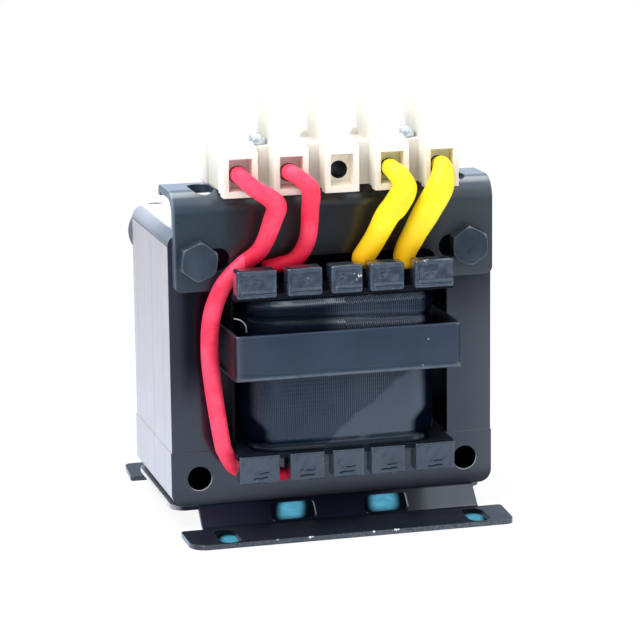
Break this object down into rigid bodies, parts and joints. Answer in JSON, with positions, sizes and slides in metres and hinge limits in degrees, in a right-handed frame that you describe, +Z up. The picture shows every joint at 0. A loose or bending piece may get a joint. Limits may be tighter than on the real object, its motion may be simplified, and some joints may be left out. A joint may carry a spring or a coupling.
{
  "type": "mains transformer",
  "caption": "Small open-frame mains transformer: laminated core, taped coil with strap, slotted sheet-metal feet, top bracket and terminal strip with sleeved leads.",
  "frame": {"origin": "middle of the feet on the floor plane", "axes": "+Z up, -Y the front with the wire entries and leads, X along the core"},
  "size_m": [0.0676, 0.065, 0.0849],
  "materials": {
    "core": "glossy varnish",
    "bobbin": "glossy varnish",
    "copper": "enamelled wire",
    "tape": "glossy varnish",
    "strap": "satin varnish",
    "liner": "matt",
    "sheet": "glossy varnish",
    "zinc": "bright zinc",
    "brass": "plain",
    "housing": "satin",
    "sleeve_red": "satin",
    "sleeve_yellow": "satin"
  },
  "bodies": {
    "root": {"core_e_stack": "core", "core_i_stack": "core", "bobbin": "bobbin", "winding": "copper", "coil_wrap": "tape", "strap": "strap", "liner_left": "liner", "liner_right": "liner", "base": "sheet", "top_bracket": "sheet", "tabs_front_upper": "bobbin", "tabs_front_lower": "bobbin", "tabs_rear_upper": "bobbin", "tabs_rear_lower": "bobbin", "bolt_left": "sheet", "bolt_right": "sheet", "washer_left": "zinc", "washer_right": "zinc", "nut_left": "zinc", "nut_right": "zinc", "terminal_housing": "housing", "clamp_1": "brass", "clamp_2": "brass", "clamp_3": "brass", "clamp_4": "brass", "clamp_5": "brass", "clamp_screws_1": "zinc", "clamp_screws_2": "zinc", "clamp_screws_3": "zinc", "clamp_screws_4": "zinc", "clamp_screws_5": "zinc", "strip_screw_left": "zinc", "strip_screw_right": "zinc", "red_lead_1": "sleeve_red", "red_lead_2": "sleeve_red", "yellow_lead_1": "sleeve_yellow", "yellow_lead_2": "sleeve_yellow"}
  },
  "joints": []
}
